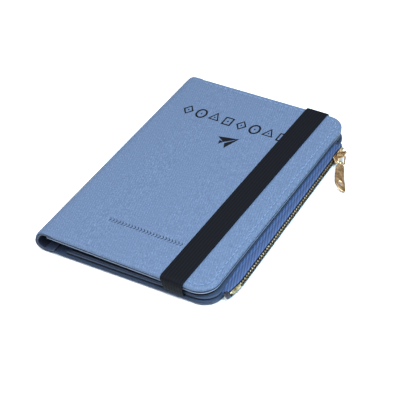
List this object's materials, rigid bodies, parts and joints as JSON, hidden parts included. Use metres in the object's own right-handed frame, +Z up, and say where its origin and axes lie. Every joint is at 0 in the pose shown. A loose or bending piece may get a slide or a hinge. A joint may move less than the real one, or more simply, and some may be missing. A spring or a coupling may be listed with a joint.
{
  "type": "passport holder wallet",
  "caption": "Stiffened leather passport wallet with a rolled spine, an elastic closing band, inner card slots and sleeve, and a zipped coin pocket with a hanging pull.",
  "frame": {"origin": "centre of the back cover's outer face, which the closed wallet rests on", "axes": "+Y along the spine from foot to head, +X from the spine to the fore edge, +Z up through the closed covers"},
  "size_m": [0.1147, 0.1424, 0.0122],
  "materials": {
    "cover_leather": "cross-hatch embossed leather, soft semi-matt, dark painted edges",
    "stiffener": "plain stiffener sheet",
    "back_cloth": "fine dark cloth",
    "inner_leather": "pale smooth leather",
    "bonding_cloth": "dark non-woven cloth",
    "elastic": "ribbed woven elastic with a slight sheen",
    "zip_tape": "diagonal woven tape",
    "tape_film": "dark fused film",
    "zip_metal": "pale gold, polished",
    "slider_metal": "pale gold, polished"
  },
  "bodies": {
    "back_cover": {"back_skin": "cover_leather", "back_board": "stiffener", "back_lining": "back_cloth", "gutter_lining_back": "back_cloth", "pocket_gusset": "back_cloth", "pocket_panel": "inner_leather", "passport_sleeve": "inner_leather", "zip_tape_root": "zip_tape", "zip_tape_lower": "zip_tape", "zip_teeth_lower": "zip_metal", "zip_bottom_stop": "zip_metal", "zip_tape_end": "tape_film", "zip_top_stop_lower": "zip_metal", "band_tail_head": "elastic", "band_tail_foot": "elastic"},
    "spine": {"spine_skin": "cover_leather", "spine_lining": "back_cloth"},
    "front_cover": {"front_skin": "cover_leather", "front_board": "stiffener", "front_interlining": "bonding_cloth", "front_lining": "inner_leather", "gutter_lining_front": "back_cloth", "card_slot_1": "inner_leather", "card_slot_2": "inner_leather", "card_slot_3": "inner_leather"},
    "elastic_band": {"elastic_band": "elastic"},
    "upper_chain": {"zip_tape_upper": "zip_tape", "zip_teeth_upper": "zip_metal", "zip_top_stop_upper": "zip_metal"},
    "zip_slider": {"slider_body": "slider_metal", "slider_bridge": "slider_metal"},
    "pull_link": {"pull_link": "slider_metal"},
    "pull_tab": {"pull_tab": "slider_metal"}
  },
  "joints": [
    {"name": "cover_open", "type": "hinge", "parent": "back_cover", "child": "spine", "pos_m": [-0.0467, 0, 0.0013], "axis": [0, -1, 0], "range_deg": [0, 90]},
    {"name": "spine_unfold", "type": "hinge", "parent": "spine", "child": "front_cover", "pos_m": [-0.0467, 0, 0.01105], "axis": [0, -1, 0], "range_deg": [0, 92]},
    {"name": "band_release", "type": "slide", "parent": "back_cover", "child": "elastic_band", "axis": [1, 0, 0], "range_m": [0, 0.045], "stiffness_N_per_m": 2, "deforming": ["elastic_band"]},
    {"name": "zip_slide", "type": "slide", "parent": "back_cover", "child": "zip_slider", "axis": [0.0192, -0.9998, 0], "range_m": [0, 0.094], "deforming": ["zip_teeth_lower"]},
    {"name": "mouth_open", "type": "hinge", "parent": "back_cover", "child": "upper_chain", "pos_m": [0.0489, -0.00007, 0.00305], "axis": [0.0192, -0.9998, 0], "range_deg": [0, 25], "deforming": ["zip_tape_upper", "zip_teeth_upper", "zip_top_stop_upper"]},
    {"name": "pull_swing", "type": "hinge", "parent": "zip_slider", "child": "pull_link", "pos_m": [0.05455, 0.04845, 0.00465], "axis": [-0.4225, -0.0081, 0.9063], "range_deg": [0, 140]},
    {"name": "pull_tab_swing", "type": "hinge", "parent": "pull_link", "child": "pull_tab", "pos_m": [0.0569, 0.04264, 0.004], "axis": [-0.8084, -0.3778, 0.4515], "range_deg": [-40, 60]}
  ],
  "couplings": [
    {"joint": "spine_unfold", "follows": "cover_open", "ratio": 1.0198},
    {"joint": "mouth_open", "follows": "zip_slide", "rad_per_m": 4.6}
  ]
}
